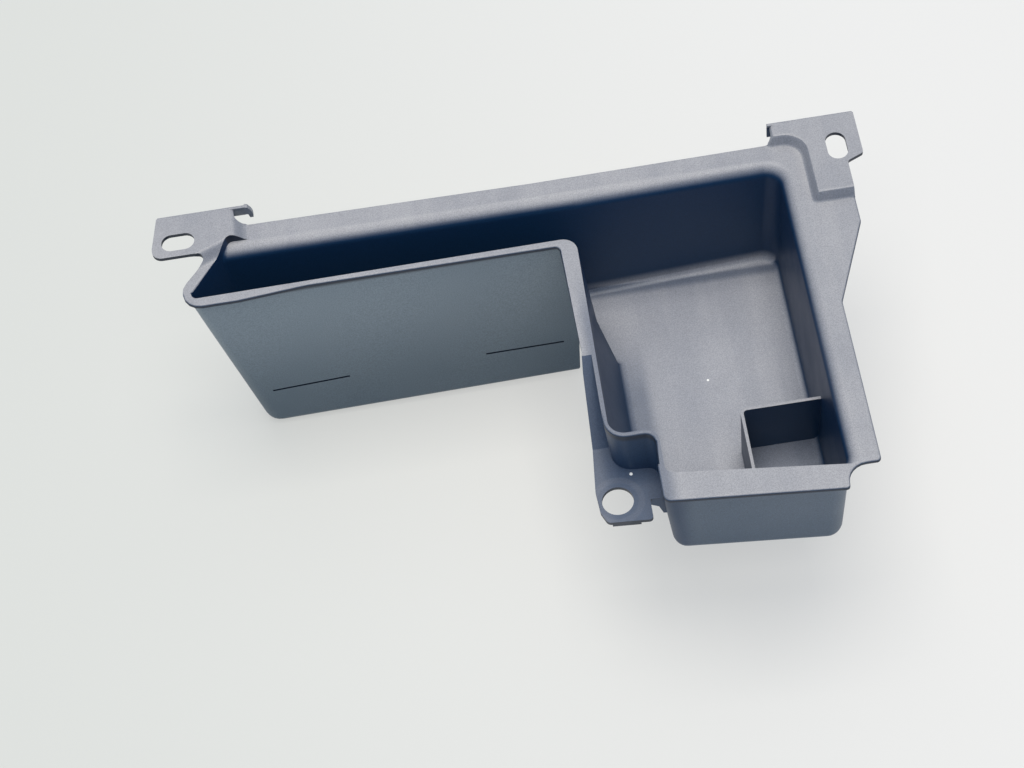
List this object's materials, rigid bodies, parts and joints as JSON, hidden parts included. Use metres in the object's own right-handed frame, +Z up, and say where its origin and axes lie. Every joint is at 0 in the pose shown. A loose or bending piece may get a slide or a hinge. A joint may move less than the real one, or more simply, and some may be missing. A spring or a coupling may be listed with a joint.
{
  "type": "trunk storage box",
  "caption": "Moulded tray for a car boot: a deep narrow trough along the back, a wider box with a corner pocket, slotted tabs and a bracket with a round hole",
  "frame": {"origin": "Under the middle of the tray, level with the lowest part of the trough's underside", "axes": "+X along the back edge, from the left tab to the right tab; +Y to the back, where the tabs are; +Z up, out of the open mouth"},
  "size_m": [0.426, 0.2546, 0.1475],
  "materials": {
    "storage_box": "black moulded plastic with a satin face"
  },
  "bodies": {
    "root": {"storage_box": "storage_box"}
  },
  "joints": []
}
